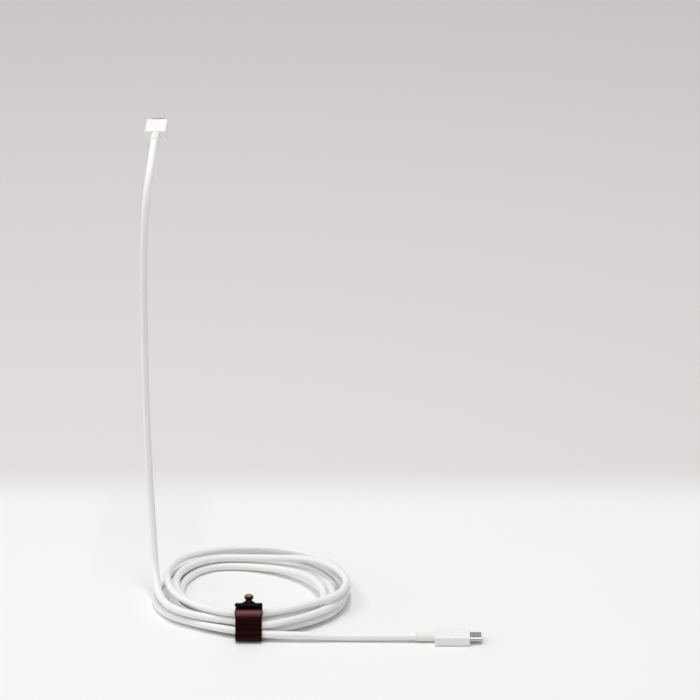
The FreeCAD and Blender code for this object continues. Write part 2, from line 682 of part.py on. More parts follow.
FRONT_NORMAL = slope_normal(-math.sin(math.radians(FRONT_SLOPE)), math.cos(math.radians(FRONT_SLOPE)))
UNDER_NORMAL = slope_normal(0, -1)
REAR_NORMAL = slope_normal(math.cos(math.radians(REAR_LEAN)), math.sin(math.radians(REAR_LEAN)))
PAD_NORMAL = slope_normal(math.sin(math.radians(PAD_TILT)), math.cos(math.radians(PAD_TILT)))
PAD_BACK = slope_normal(math.cos(math.radians(PAD_TILT)), -math.sin(math.radians(PAD_TILT)))


def bundle_points():
    """Middles of all passes where they lie under the strap."""
    points = []
    for number in PASSES:
        for point in points_along(pass_steps(number)):
            if abs(point.x - TIE_X) <= STRAP_W / 2:
                points.append(point)
    return points


def reach(points, normal):
    """How far the points reach along the normal."""
    return max(point.dot(normal) for point in points)


def meeting(normal_a, distance_a, normal_b, distance_b):
    """Where two lines of the tie's plane meet, each given by its normal and distance."""
    det = normal_a.y * normal_b.z - normal_a.z * normal_b.y
    y = (distance_a * normal_b.z - distance_b * normal_a.z) / det
    z = (normal_a.y * distance_b - normal_b.y * distance_a) / det
    return flat(y, z)


def tie_plan():
    """Corners of the strap's middle line, the stud's foot, the hinge and where the strap is cut for it."""
    bundle = bundle_points()
    clear = CORD_D / 2 + LEATHER_CLEAR + LEATHER / 2
    front = reach(bundle, FRONT_NORMAL) + clear
    under = reach(bundle, UNDER_NORMAL) + clear
    lower_pad = reach(bundle, PAD_NORMAL) + clear
    upper_pad = lower_pad + LEATHER + FOOT_T + PLAY
    top = flat(FRONT_PASS_Y + PASSES[6][0], TABLE + PASSES[6][1])
    top = top + PAD_NORMAL * (lower_pad - top.dot(PAD_NORMAL))
    stud = top - PAD_BACK * STUD_FORWARD
    strap_end = stud + PAD_BACK * STUD_TO_STRAP_END
    end_corner = strap_end + PAD_NORMAL * (LEATHER / 2)
    rear = max(reach(bundle, REAR_NORMAL) + clear, end_corner.dot(REAR_NORMAL) + LEATHER_CLEAR + LEATHER / 2)
    rear_top = meeting(REAR_NORMAL, rear, PAD_NORMAL, upper_pad)
    tail_tip = stud + PAD_NORMAL * (upper_pad - lower_pad) - PAD_BACK * STUD_TO_TAIL_END
    up = Vector(0, -REAR_NORMAL.z, REAR_NORMAL.y)
    bend = REAR_BEND * math.tan(up.getAngle(PAD_BACK * -1) / 2)
    hinge = rear_top - up * (bend + FOLD_BELOW_BEND)
    band = [strap_end, meeting(PAD_NORMAL, lower_pad, FRONT_NORMAL, front),
            meeting(FRONT_NORMAL, front, UNDER_NORMAL, under), meeting(UNDER_NORMAL, under, REAR_NORMAL, rear), hinge]
    return {"band": band, "tail": [hinge, rear_top, tail_tip], "stud": stud - PAD_NORMAL * (LEATHER / 2)}


def stud_placed(solid, plan):
    """Sets a piece made round +Z, with the strap's flesh side at z = 0, on the stud's axis."""
    solid.rotate(Vector(0, 0, 0), Vector(1, 0, 0), -PAD_TILT)
    solid.translate(plan["stud"] + Vector(STRAP_W / 2, 0, 0))
    return solid


def round_bar_up(diameter, z):
    return Part.makeCylinder(diameter / 2, z[1] - z[0], Vector(0, 0, z[0]))


def make_tie_band(plan):
    """Strap from its stud end round the front, the underside and the back of the bundle."""
    body = strip(rounded_steps(plan["band"], [FRONT_BEND, WRAP_BEND, WRAP_BEND]), LEATHER, STRAP_W)
    hole = round_bar_up(SCREW_D + 2 * PLAY, (0, LEATHER))
    seat = round_bar_up(SCREW_HEAD_D + 2 * PLAY, (-PLAY, SCREW_HEAD_T + PLAY))
    return cleaned(body.cut([stud_placed(hole, plan), stud_placed(seat, plan)]))


def make_tie_tail(plan):
    """Free end of the strap: it comes over from behind and buttons on the ball through a hole with a slit."""
    under = LEATHER + FOOT_T + PLAY
    top = under + LEATHER
    body = strip(rounded_steps(plan["tail"], [REAR_BEND]), LEATHER, STRAP_W)
    cone = Part.makeCone(CONE_D / 2, CONE_TOP_D / 2, CONE_H, Vector(0, 0, top))
    root = round_bar_up(CONE_D, (under + LEATHER / 2, top))
    hole = round_bar_up(TAIL_HOLE_D, (under - PLAY, top + CONE_H))
    slit = box((-TAIL_SLIT_W / 2, TAIL_SLIT_W / 2), (0, TAIL_HOLE_D / 2 + TAIL_SLIT_L), (under - PLAY, top + CONE_H))
    body = body.fuse([stud_placed(cone, plan), stud_placed(root, plan)])
    return cleaned(body.cut([stud_placed(hole, plan), stud_placed(slit, plan)]))


def make_tie_stud(plan):
    """Brass stud: a flattened ball on a waisted neck and a flat foot, with the screw's bore from below."""
    foot = LEATHER
    widest, ball_r, neck_r = BALL_WAIST + foot, BALL_D / 2, NECK_D / 2
    base, top = BALL_BASE + foot, BALL_TOP + foot
    outline = polyline([
        Vector(0, 0, foot), Vector(FOOT_D / 2, 0, foot), Vector(FOOT_D / 2, 0, foot + FOOT_T),
        Vector(neck_r, 0, foot + FOOT_T), Vector(neck_r, 0, base),
    ])
    outline.append(Part.Arc(Vector(neck_r, 0, base), Vector(ball_r * 0.92, 0, (base * 2 + widest * 3) / 5),
                            Vector(ball_r, 0, widest)).toShape())
    crown_r = (ball_r ** 2 + (top - widest) ** 2) / (2 * (top - widest))
    half = math.atan((top - widest) / ball_r)
    crown_middle = Vector(crown_r * math.sin(half), 0, top - crown_r * (1 - math.cos(half)))
    outline.append(Part.Arc(Vector(ball_r, 0, widest), crown_middle, Vector(0, 0, top)).toShape())
    outline += polyline([Vector(0, 0, top), Vector(0, 0, foot)])
    bore = round_bar_up(SCREW_D + 2 * FIT, (foot, SCREW_HEAD_T + SCREW_L + PLAY))
    return stud_placed(cleaned(revolved(outline, Vector(0, 0, 1)).cut(bore)), plan)


def make_tie_stud_screw(plan):
    """Flat-headed screw let into the strap from inside and up into the stud."""
    head = round_bar_up(SCREW_HEAD_D, (0, SCREW_HEAD_T))
    shank = round_bar_up(SCREW_D, (0, SCREW_HEAD_T + SCREW_L))
    slot = box((-SCREW_SLOT_W / 2, SCREW_SLOT_W / 2), (-SCREW_HEAD_D, SCREW_HEAD_D), (0, SCREW_SLOT_DEPTH))
    return stud_placed(cleaned(head.fuse(shank).cut(slot)), plan)


# Everything in its place

def to_phone_plug(shape):
    """Turns a plug's piece so that its mouth points along +X and sets it at the end of the tail."""
    placed = shape.copy()
    placed.rotate(Vector(0, 0, 0), Vector(0, 0, 1), -90)
    placed.translate(tail_end() - Vector(RELIEF_TIP_Y, 0, 0))
    return placed


def make_nodes():
    nodes = {}
    for piece, make in PLUG_PIECES.items():
        shape = make()
        nodes["charger_plug_" + piece] = shape
        nodes["phone_plug_" + piece] = to_phone_plug(shape)
    nodes["charger_plug_marker_chip"] = make_marker_chip()
    nodes.update(make_cord())
    plan = tie_plan()
    nodes["tie_band"] = make_tie_band(plan)
    nodes["tie_tail"] = make_tie_tail(plan)
    nodes["tie_stud"] = make_tie_stud(plan)
    nodes["tie_stud_screw"] = make_tie_stud_screw(plan)
    hinge = plan["band"][-1]
    print("hinge of the tie's free end: x %.3f y %.3f z %.3f" % (TIE_X, hinge.y, hinge.z))
    return nodes


os.makedirs("parts", exist_ok=True)
for name, shape in make_nodes().items():
    if not shape.isValid():
        print("not valid: " + name)
    shape.exportStep("parts/" + name + ".step")
    box_of = shape.BoundBox
    print("%-32s %2d solids, %9.2f mm3, x %.2f to %.2f, y %.2f to %.2f, z %.2f to %.2f" % (
        name, len(shape.Solids), shape.Volume, box_of.XMin, box_of.XMax, box_of.YMin, box_of.YMax,
        box_of.ZMin, box_of.ZMax))
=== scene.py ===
import math

import bpy
import numpy as np
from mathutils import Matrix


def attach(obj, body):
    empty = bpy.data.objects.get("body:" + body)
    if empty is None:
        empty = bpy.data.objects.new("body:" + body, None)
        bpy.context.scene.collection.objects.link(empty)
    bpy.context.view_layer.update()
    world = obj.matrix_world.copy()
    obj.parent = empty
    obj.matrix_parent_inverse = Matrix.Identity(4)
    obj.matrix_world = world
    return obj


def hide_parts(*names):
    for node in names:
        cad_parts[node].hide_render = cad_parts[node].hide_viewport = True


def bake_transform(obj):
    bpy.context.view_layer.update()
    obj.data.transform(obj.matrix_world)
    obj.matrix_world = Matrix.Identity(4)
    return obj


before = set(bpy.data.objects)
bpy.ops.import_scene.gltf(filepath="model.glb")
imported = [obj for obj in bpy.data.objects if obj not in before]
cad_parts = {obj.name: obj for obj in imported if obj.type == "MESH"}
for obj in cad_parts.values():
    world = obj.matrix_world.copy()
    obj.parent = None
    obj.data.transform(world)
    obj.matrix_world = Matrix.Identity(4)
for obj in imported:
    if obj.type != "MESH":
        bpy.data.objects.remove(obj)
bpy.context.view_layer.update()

MM = 0.001

# The viewpoint.
# The cable is seen from the front and 24 degrees above, 1.74 m from its charger plug, through a long lens, so
# that its sides stay nearly parallel. The middle of the picture is the middle of the lens.
LENS = 154.3               # mm, before a frame 36 mm wide
VIEW_FROM = (0.1113, -1.6373, 0.5859)
VIEW_DOWN = 24.0           # degrees
camera_data = bpy.data.cameras.new("long_lens")
camera_data.sensor_width = 36.0
camera_data.lens = LENS
camera_data.clip_end = 20.0
camera = bpy.data.objects.new("viewpoint", camera_data)
camera.location = VIEW_FROM
camera.rotation_euler = (math.radians(90.0 - VIEW_DOWN), 0.0, 0.0)
bpy.context.scene.collection.objects.link(camera)
bpy.context.scene.camera = camera


# The tabletop and the light.
# A plain pale tabletop that runs on behind like a studio sweep. Soft daylight comes from above on the left, with
# a small lamp lower down on the same side and a softbox overhead; the room in front is dimmer.
def linear(code):
    """A linear RGBA colour from an sRGB hex code: each channel is undone by the sRGB curve."""
    channels = [int(code[i:i + 2], 16) / 255 for i in (1, 3, 5)]
    return tuple(c / 12.92 if c <= 0.04045 else ((c + 0.055) / 1.055) ** 2.4 for c in channels) + (1.0,)


def add(material, kind, inputs=(), **settings):
    """Adds a node with its settings; inputs pairs a socket's name or number with a value or another's output."""
    node = material.node_tree.nodes.new(kind)
    for name, value in settings.items():
        setattr(node, name, value)
    for name, value in dict(inputs).items():
        if isinstance(value, bpy.types.NodeSocket):
            material.node_tree.links.new(value, node.inputs[name])
        else:
            node.inputs[name].default_value = value
    return node


def finish_material(name, shader_inputs, build=None):
    """A material with one principled shader; build returns more of its inputs, worked out by nodes."""
    material = bpy.data.materials.new(name)
    material.use_nodes = True
    material.node_tree.nodes.clear()
    inputs = dict(shader_inputs)
    if build:
        inputs.update(build(material))
    shader = add(material, "ShaderNodeBsdfPrincipled", inputs)
    add(material, "ShaderNodeOutputMaterial", {"Surface": shader.outputs["BSDF"]})
    return material


TABLE_Z = -261.02 * MM     # a hair under the lowest pieces
TABLE_X = (-4.0, 4.0)      # metres, far past the picture's edges
TABLE_Y = (-4.0, 6.0)
table_mesh = bpy.data.meshes.new("tabletop")
table_corners = [(TABLE_X[0], TABLE_Y[0]), (TABLE_X[1], TABLE_Y[0]), (TABLE_X[1], TABLE_Y[1]),
                 (TABLE_X[0], TABLE_Y[1])]
table_mesh.from_pydata([corner + (TABLE_Z,) for corner in table_corners], [], [(0, 1, 2, 3)])
tabletop = bpy.data.objects.new("tabletop", table_mesh)
bpy.context.scene.collection.objects.link(tabletop)


def laminate(material):
    """Near-white close to the coil, a warmer grey from 20 to 90 mm behind the plug's shoulder on."""
    place = add(material, "ShaderNodeTexCoord").outputs["Object"]
    back = add(material, "ShaderNodeSeparateXYZ", {0: place}).outputs["Y"]
    share = add(material, "ShaderNodeMapRange", {"Value": back, "From Min": 0.02, "From Max": 0.09},
                interpolation_type="SMOOTHSTEP")
    tint = add(material, "ShaderNodeMix", {0: share.outputs["Result"], 6: linear("#F4F3F2"), 7: linear("#E0DCDA")},
               data_type="RGBA")
    return {"Base Color": tint.outputs[2]}


tabletop.data.materials.append(finish_material("pale_laminate_matt", {
    "Roughness": 0.6, "Specular IOR Level": 0.3}, laminate))

world = bpy.data.worlds.new("soft_room")
world.use_nodes = True
world.node_tree.nodes["Background"].inputs["Color"].default_value = linear("#F4F5F7")
world.node_tree.nodes["Background"].inputs["Strength"].default_value = 0.54
bpy.context.scene.world = world
bpy.context.scene.view_settings.view_transform = "Standard"

daylight_data = bpy.data.lights.new("daylight_left", "SUN")
daylight_data.energy = 0.6
daylight_data.angle = math.radians(30.0)
daylight = bpy.data.objects.new("daylight_left", daylight_data)
daylight.rotation_euler = (0.0, math.radians(31.6), math.radians(-163.0))
lamp_data = bpy.data.lights.new("lamp_left", "AREA")
lamp_data.shape = "DISK"
lamp_data.size = 0.8
lamp_data.energy = 3.1
lamp = bpy.data.objects.new("lamp_left", lamp_data)
lamp.location = (-1.5, -0.15, 0.25)
lamp.rotation_euler = (0.0, math.radians(75.5), math.radians(-178.0))
softbox_data = bpy.data.lights.new("softbox_above", "AREA")
softbox_data.size = 0.32
softbox_data.energy = 8.0
softbox = bpy.data.objects.new("softbox_above", softbox_data)
softbox.location = (0.05, -0.12, 1.25)
for light in (daylight, lamp, softbox):
    bpy.context.scene.collection.objects.link(light)


# The cord.
# One white round cord, extruded in a soft elastomer over its wires: it hangs from the charger plug, lies in
# five loops that pass six times through the tie, and runs on along the table to the phone plug.
CORD_D = 4.3
TABLE = -261.0
RELIEF_TIP = (0.0, -31.0, 0.0)
DROP_POINTS = [
    (0.0, -44.0, 0.0), (-0.9, -56.0, -6.5), (-2.7, -64.0, -17.5), (-4.2, -67.5, -34.0), (-5.7, -68.0, -66.0),
    (-6.3, -68.0, -110.0), (-6.4, -69.5, -150.0), (-5.4, -73.5, -190.0), (-3.7, -80.0, -222.0),
    (-2.2, -91.0, TABLE + 14.5), (1.0, -109.5, TABLE + 9.2), (11.6, -124.32, TABLE + 9.37),
    (29.58, -130.41, TABLE + 8.23),
]
TAIL_POINTS = [
    (84.07, -143.26, TABLE + 3.95), (108.1, -142.35, TABLE + 2.15), (130.5, -143.1, TABLE + 3.0),
    (148.5, -143.1, TABLE + 3.0),
]
TIE_X = 53.6
FRONT_PASS_Y = -139.8
PASSES = {1: (-0.19, 4.02), 2: (5.41, 3.98), 3: (10.75, 4.05), 4: (3.04, 8.27), 5: (8.51, 8.36), 6: (6.2, 12.95)}
PASS_HALF = 8.5
PASS_SLANTS = {1: (2.16, 0.07), 2: (2.33, 0.01), 3: (2.16, 0.08), 4: (2.45, -0.04), 5: (2.49, 0.19), 6: (0.0, 0.0)}
ENTRY_HEADINGS = {1: -16.6, 2: -15.3, 3: -15.7, 4: -14.1, 5: -14.2, 6: -12.0}
EXIT_HEADINGS = {1: -2.9, 2: 9.3, 3: 11.0, 4: 13.6, 5: 13.9, 6: 17.0}
PASS_ORDER = [4, 6, 5, 3, 2, 1]
LOOPS = [
    ((109.4, -90.0, 8.6, 95), (54.0, -42.2, 6.6, 180), (4.4, -85.0, 11.2, 270)),
    ((107.2, -89.0, 13.8, 114), (40.0, -54.8, 6.9, 180), (9.4, -84.0, 7.0, 270)),
    ((96.0, -101.0, 8.2, 98), (38.4, -56.8, 2.15, 180), (12.2, -86.0, 2.15, 270)),
    ((101.0, -91.0, 2.15, 93), (43.0, -50.1, 2.15, 180), (6.3, -85.0, 2.15, 270)),
    ((107.8, -92.0, 2.15, 90), (52.0, -37.5, 2.15, 180), (-2.2, -94.0, 2.15, 270)),
]


def pass_end(number, side):
    """End of a pass through the tie, left for -1 and right for 1."""
    back, height = PASSES[number]
    slant_back, slant_up = PASS_SLANTS[number]
    return np.array([TIE_X + side * PASS_HALF, FRONT_PASS_Y + back - side * slant_back,
                     TABLE + height - side * slant_up])


def heading(degrees):
    return np.array([math.cos(math.radians(degrees)), math.sin(math.radians(degrees)), 0.0])


def swing(a, heading_a, b, heading_b):
    """Control points from a to b: two corners with equal tangent lengths, each eased into two where it turns far."""
    span, both = b - a, heading_a + heading_b
    square, middle = both @ both - 4, span @ both
    reach = (middle - math.sqrt(middle ** 2 - square * (span @ span))) / square
    corner_a, corner_b = a + heading_a * reach, b - heading_b * reach
    joint = (corner_a + corner_b) / 2
    points = []
    for start, corner, end in ((a, corner_a, joint), (joint, corner_b, b)):
        turn = math.acos(np.clip((corner - start) @ (end - corner) / reach ** 2, -1, 1))
        ease = math.tan(turn / 4) / math.tan(turn / 2)
        points += [start + (corner - start) * ease, end + (corner - end) * ease]
    return points


def coil_points():
    """Each loop from its pass round the right, far and left side to the next pass, then the last pass."""
    points = []
    for loop, number, following in zip(LOOPS, PASS_ORDER, PASS_ORDER[1:]):
        stations = [(pass_end(number, -1), heading(ENTRY_HEADINGS[number])),
                    (pass_end(number, 1), heading(EXIT_HEADINGS[number]))]
        for x, y, height, degrees in loop:
            stations.append((np.array([x, y, TABLE + height]), heading(degrees)))
        stations.append((pass_end(following, -1), heading(ENTRY_HEADINGS[following])))
        for (a, heading_a), (b, heading_b) in zip(stations, stations[1:]):
            points += swing(a, heading_a, b, heading_b)
    last = PASS_ORDER[-1]
    return points + swing(pass_end(last, -1), heading(ENTRY_HEADINGS[last]), pass_end(last, 1),
                          heading(EXIT_HEADINGS[last]))


cord_points = [RELIEF_TIP] + DROP_POINTS + [tuple(p) for p in coil_points()] + TAIL_POINTS
cord_curve = bpy.data.curves.new("cord", "CURVE")
cord_curve.dimensions = "3D"
cord_curve.resolution_u = 7
cord_curve.bevel_depth = CORD_D / 2 * MM
cord_curve.bevel_resolution = 6
cord_curve.use_fill_caps = True
cord_spline = cord_curve.splines.new("NURBS")
cord_spline.points.add(len(cord_points) - 1)
for spline_point, place in zip(cord_spline.points, cord_points):
    spline_point.co = (place[0] * MM, place[1] * MM, place[2] * MM, 1.0)
cord_spline.order_u = 3
cord_spline.use_endpoint_u = True
cord = bpy.data.objects.new("cord", cord_curve)
bpy.context.scene.collection.objects.link(cord)


def white_elastomer(material, clean, yellowed):
    """Soft white elastomer: a faint yellowing in patches of some 15 mm, and a dull die-drawn skin."""
    place = add(material, "ShaderNodeTexCoord").outputs["Object"]
    patches = add(material, "ShaderNodeTexNoise", {"Vector": place, "Scale": 70.0, "Detail": 3.0})
    tint = add(material, "ShaderNodeMix", {0: patches.outputs["Fac"], 6: linear(clean), 7: linear(yellowed)},
               data_type="RGBA")
    skin = add(material, "ShaderNodeTexNoise", {"Vector": place, "Scale": 1400.0, "Detail": 2.0})
    bump = add(material, "ShaderNodeBump", {"Height": skin.outputs["Fac"], "Strength": 0.06, "Distance": 0.0001})
    return {"Base Color": tint.outputs[2], "Normal": bump.outputs["Normal"]}


jacket = finish_material("white_elastomer_extruded", {"Roughness": 0.44, "IOR": 1.5},
                         lambda material: white_elastomer(material, "#F6F5F4", "#F0EEEB"))
cord.data.materials.append(jacket)
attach(cord, "cable")
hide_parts("cord_drop", "cord_coil", "cord_tail")


# Placing a plug's pieces.
# Both plugs are alike. Each piece is worked out with its mouth along +Y and the middle of its shoulder at the
# origin, which is the charger plug's own place, and turned and moved for the phone plug.
PLUGS = ("charger_plug", "phone_plug")
PHONE_PLUG = np.array([179.5, -143.1, TABLE + 3.0])
SHARP_ANGLE = 50.0         # degrees: a surface that turns more than this has an edge


def set_in_plug(points, plug):
    """Millimetre points in the plug's own place to metres in the cable's: the phone plug is turned to +X."""
    if plug == "phone_plug":
        points = np.stack([points[..., 1], -points[..., 0], points[..., 2]], axis=-1) + PHONE_PLUG
    return points * MM


def surface(name, grid, material, body="cable", ends=True):
    """A mesh from a grid of points closed round its second direction, its first and last ring filled; it moves
    with body, or with none yet."""
    rings, sides = grid.shape[:2]
    index = np.arange(rings * sides).reshape(rings, sides)
    after = np.roll(index, -1, axis=1)
    quads = np.stack([index[:-1], after[:-1], after[1:], index[1:]], axis=-1).reshape(-1, 4)
    faces = quads.tolist()
    if ends:
        faces += [index[0, ::-1].tolist(), index[-1].tolist()]
    mesh = bpy.data.meshes.new(name)
    mesh.from_pydata(grid.reshape(-1, 3).tolist(), [], faces)
    mesh.shade_smooth()
    mesh.set_sharp_from_angle(angle=math.radians(SHARP_ANGLE))
    mesh.materials.append(material)
    piece = bpy.data.objects.new(name, mesh)
    bpy.context.scene.collection.objects.link(piece)
    if body:
        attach(piece, body)
    return piece


# The strain reliefs.
# A short sleeve of the same elastomer in a slightly warmer white, moulded onto the cord, with a groove and a
# rounded lip at its tip. Its straight end reaches just inside the housing's rear hole; its flange is not drawn.
HOUSING_L = 20.2
RELIEF_L = 10.8
RELIEF_SIDES = 64


def relief_profile():
    """Radius against distance from the tip: lip with rounded edges, groove, then a straight sleeve."""
    along = np.array([0.0, 0.0, 0.08, 0.2, 0.55, 0.68, 0.72, 0.78, 1.02, 1.08, 1.16, 3.0, 6.0, 9.0, 10.2, 10.6, 11.4])
    radius = np.array([2.05, 2.42, 2.54, 2.6, 2.6, 2.56, 2.48, 2.45, 2.45, 2.5, 2.58, 2.6, 2.6, 2.6, 2.6, 2.6, 2.6])
    return along, radius


def relief_rings(plug):
    """The profile turned round the plug's axis."""
    along, radius = relief_profile()
    angle = np.linspace(0, 2 * np.pi, RELIEF_SIDES, endpoint=False)
    y = np.broadcast_to((along - HOUSING_L - RELIEF_L)[:, None], (len(along), RELIEF_SIDES))
    rings = np.stack([radius[:, None] * np.sin(angle), y, radius[:, None] * np.cos(angle)], axis=-1)
    return set_in_plug(rings, plug)


relief_material = finish_material("white_elastomer_moulded", {"Roughness": 0.5, "IOR": 1.5},
                                  lambda material: white_elastomer(material, "#EFEEE9", "#E9E8E2"))
for plug in PLUGS:
    relief = surface(plug + "_relief_sleeve", relief_rings(plug), relief_material)
    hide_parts(plug + "_strain_relief")


# The housings.
# A smooth white sleeve of moulded ABS with softly rounded edges, open in front, where the moulding that holds the
# metal mouth closes it. Its surface is satin, with the slight waviness of a moulding.
HOUSING_W = 12.4
HOUSING_H = 6.0
HOUSING_CORNER = 1.2
HOUSING_EDGE = 0.35
HOUSING_WALL = 0.8
REAR_HOLE = (5.4, 5.2, 2.59)    # width, height and corner of the relief's hole in the rear wall
INNER_WALL_DEPTH = 2.0     # how far the inside is drawn behind the front edge


def rounded_ring(width, height, corner, y, steps=10):
    """A rounded rectangle across the plug's axis: four quarter circles of points, joined by straight sides."""
    quarter = np.linspace(0, np.pi / 2, steps)
    angle = (quarter[None, :] + np.arange(4)[:, None] * np.pi / 2).reshape(-1)
    side_x = np.repeat([1, -1, -1, 1], steps) * (width / 2 - corner)
    side_z = np.repeat([1, 1, -1, -1], steps) * (height / 2 - corner)
    x = side_x + corner * np.cos(angle)
    z = side_z + corner * np.sin(angle)
    return np.stack([x, np.full_like(x, y), z], axis=-1)


def housing_rings():
    """From the relief's hole in the rear wall, out round the rear edge, forward, round the front edge and inside."""
    rounding = np.linspace(0, np.pi / 2, 6)
    rings = [rounded_ring(*REAR_HOLE, -HOUSING_L)]
    for angle in rounding:
        inset = HOUSING_EDGE * (1 - math.sin(angle))
        rings.append(rounded_ring(HOUSING_W - 2 * inset, HOUSING_H - 2 * inset, HOUSING_CORNER - inset * 0.5,
                                  -HOUSING_L + HOUSING_EDGE * (1 - math.cos(angle))))
    for angle in rounding[::-1]:
        inset = HOUSING_EDGE * (1 - math.sin(angle))
        rings.append(rounded_ring(HOUSING_W - 2 * inset, HOUSING_H - 2 * inset, HOUSING_CORNER - inset * 0.5,
                                  -HOUSING_EDGE * (1 - math.cos(angle))))
    inner = (HOUSING_W - 2 * HOUSING_WALL, HOUSING_H - 2 * HOUSING_WALL, HOUSING_CORNER - HOUSING_WALL)
    rings += [rounded_ring(*inner, 0.0), rounded_ring(*inner, -INNER_WALL_DEPTH)]
    return np.stack(rings)


def abs_satin(material):
    """Satin ABS: mould texture finer than a tenth of a millimetre, drawn at a quarter, and broad shallow waves."""
    place = add(material, "ShaderNodeTexCoord").outputs["Object"]
    grain = add(material, "ShaderNodeTexNoise", {"Vector": place, "Scale": 4000.0, "Detail": 1.0})
    waves = add(material, "ShaderNodeTexNoise", {"Vector": place, "Scale": 220.0, "Detail": 1.0})
    fine = add(material, "ShaderNodeBump", {"Height": grain.outputs["Fac"], "Strength": 0.05, "Distance": 0.00005})
    broad = add(material, "ShaderNodeBump", {"Height": waves.outputs["Fac"], "Strength": 0.04, "Distance": 0.0001,
                                             "Normal": fine.outputs["Normal"]})
    rough = add(material, "ShaderNodeMapRange", {"Value": waves.outputs["Fac"], "To Min": 0.24, "To Max": 0.34})
    return {"Normal": broad.outputs["Normal"], "Roughness": rough.outputs["Result"]}


abs_white = finish_material("white_abs_satin", {"Base Color": linear("#F3F2F0"), "IOR": 1.53}, abs_satin)
for plug in PLUGS:
    housing = surface(plug + "_sleeve", set_in_plug(housing_rings(), plug), abs_white, ends=False)
    weighted = housing.modifiers.new("flat_sides", "WEIGHTED_NORMAL")
    weighted.keep_sharp = True
    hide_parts(plug + "_housing")


# The metal mouths and what is inside the plugs.
# Deep-drawn nickel-plated steel tubes with a black moulded insulator in each, gilded spring contacts and shield
# fingers of spring steel. Behind them, sealed in the housing, a small board in a tin-plated can.
def brushed(material):
    """Metal with faint drawing lines along the plug: noise stretched twelvefold, in bump and roughness."""
    place = add(material, "ShaderNodeTexCoord").outputs["Object"]
    lines = add(material, "ShaderNodeMapping", {"Vector": place, "Scale": (12.0, 1.0, 12.0)})
    noise = add(material, "ShaderNodeTexNoise", {"Vector": lines.outputs["Vector"], "Scale": 900.0, "Detail": 3.0})
    bump = add(material, "ShaderNodeBump", {"Height": noise.outputs["Fac"], "Strength": 0.05, "Distance": 0.00004})
    rough = add(material, "ShaderNodeMapRange", {"Value": noise.outputs["Fac"], "To Min": 0.18, "To Max": 0.34})
    return {"Normal": bump.outputs["Normal"], "Roughness": rough.outputs["Result"]}


def moulded(material):
    """Dull moulded or cut surface: fine even grain."""
    place = add(material, "ShaderNodeTexCoord").outputs["Object"]
    noise = add(material, "ShaderNodeTexNoise", {"Vector": place, "Scale": 3000.0, "Detail": 2.0})
    bump = add(material, "ShaderNodeBump", {"Height": noise.outputs["Fac"], "Strength": 0.08, "Distance": 0.00004})
    return {"Normal": bump.outputs["Normal"]}


def metal(name, colour):
    return finish_material(name, {"Base Color": linear(colour), "Metallic": 1.0}, brushed)


def dull(name, colour, roughness=0.5):
    return finish_material(name, {"Base Color": linear(colour), "Roughness": roughness}, moulded)


INSIDE = {
    "shell": metal("steel_nickel_plated", "#C6C8CB"),
    "contact_carrier": dull("black_insulator_moulded", "#17181A"),
    "contacts": metal("copper_alloy_gilded", "#DDB25A"),
    "latch_plate": metal("spring_steel_bright", "#B4B6B9"),
    "ground_springs": metal("spring_steel_rolled", "#BFC1C3"),
    "shield_can": metal("steel_tin_plated", "#B9BBBD"),
    "crimp_ring": metal("brass_tin_plated", "#B5B1A6"),
    "board": dull("green_laminate_varnished", "#1F4A34", 0.35),
    "resistors": dull("black_ceramic_glazed", "#2A2826", 0.3),
    "wires": dull("red_insulation_extruded", "#A8322C", 0.4),
    "cord_end": dull("copper_braid_tinned", "#A9A49A", 0.45),
    "inner_mould": abs_white,
    "marker_chip": dull("black_epoxy_moulded", "#1C1C1E"),
}
for plug in PLUGS:
    for piece_name, material in INSIDE.items():
        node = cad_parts.get(plug + "_" + piece_name)
        if node:
            for material_slot in node.material_slots:
                material_slot.material = material


# The leather tie's band.
# A strap of vegetable-tanned leather, 15 mm wide and 1.5 mm thick, dyed deep oxblood, with a smooth waxed grain
# side and painted near-black edges. It is pulled round the bundle from the stud under it and up behind, and
# gives a little between the cords.
STRAP_W = 15.0
LEATHER = 1.5
LEATHER_EDGE = 0.35
STUD_END = (-129.57, 14.25)
FRONT_TOP = (-136.90, 17.98)
FRONT_FOOT = (-148.27, 0.81)
REAR_FOOT = (-123.49, 0.81)
HINGE = (-125.97, 12.48)
REAR_TOP = (-126.51, 15.05)
TAIL_TIP = (-135.93, 19.84)
FRONT_BEND = 5.4           # radii of the strap's middle line
WRAP_BEND = 3.15
REAR_BEND = 3.4
FRONT_RUN = 8.2            # along the strap from its stud end to the front-top corner
HIGHLIGHT_AT = 1.1            # the middle of the painted highlight over the front-top bend, from that corner
HIGHLIGHT_WIDTH = 1.5
DENTS = [(5.4, 0.34, 2.3), (11.0, -0.62, 1.9), (15.6, 0.05, 2.0)]    # place from that corner, depth and width
WIDENED = 1.01             # the strap pressed a little wide all along
WIDENED_MORE = (0.07, 0.8, 1.7)    # and more over the front-top bend: share, place from that corner and width
THIN_END = 0.55            # share of the thickness left at the stud end
EDGE_POINTS = 7            # points round each rounded edge


